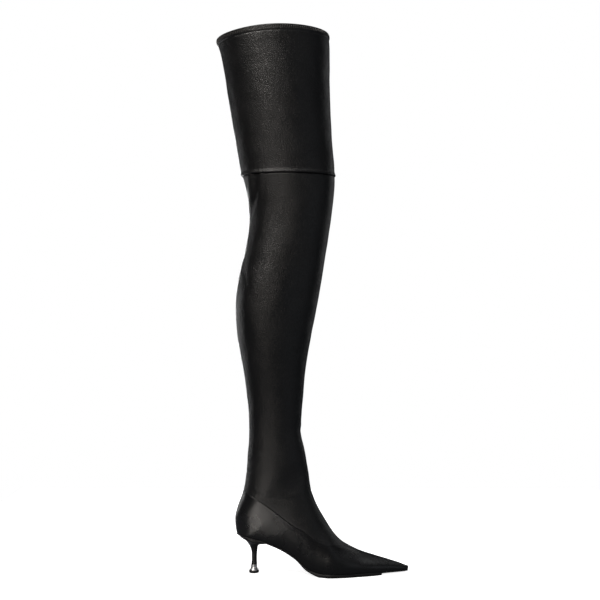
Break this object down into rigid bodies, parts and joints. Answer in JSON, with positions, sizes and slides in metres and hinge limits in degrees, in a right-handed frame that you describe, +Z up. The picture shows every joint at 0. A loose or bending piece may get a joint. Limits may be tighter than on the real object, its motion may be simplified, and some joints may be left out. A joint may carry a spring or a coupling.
{
  "type": "thigh high boot",
  "caption": "Thigh high pull-on boot of black stretch leather with a long pointed toe, a low covered heel on a bright metal ring, and seams at the top line and above the knee.",
  "frame": {"origin": "on the floor, under the middle of the heel tip", "axes": "+Z up the leg, +X from the heel to the toe, -Y to the outer side of a right foot"},
  "size_m": [0.288, 0.1403, 0.8041],
  "materials": {
    "black_leather": "soft satin sheen, fine grain",
    "black_sole_leather": "smooth, satin",
    "dark_sock_leather": "matte",
    "bright_metal": "polished",
    "black_rubber": "matte"
  },
  "bodies": {
    "root": {"outsole": "black_sole_leather", "insole": "dark_sock_leather", "upper_foot": "black_leather", "shaft_calf": "black_leather", "shaft_thigh": "black_leather", "heel": "black_leather", "heel_ring": "bright_metal", "top_piece": "black_rubber"}
  },
  "joints": []
}
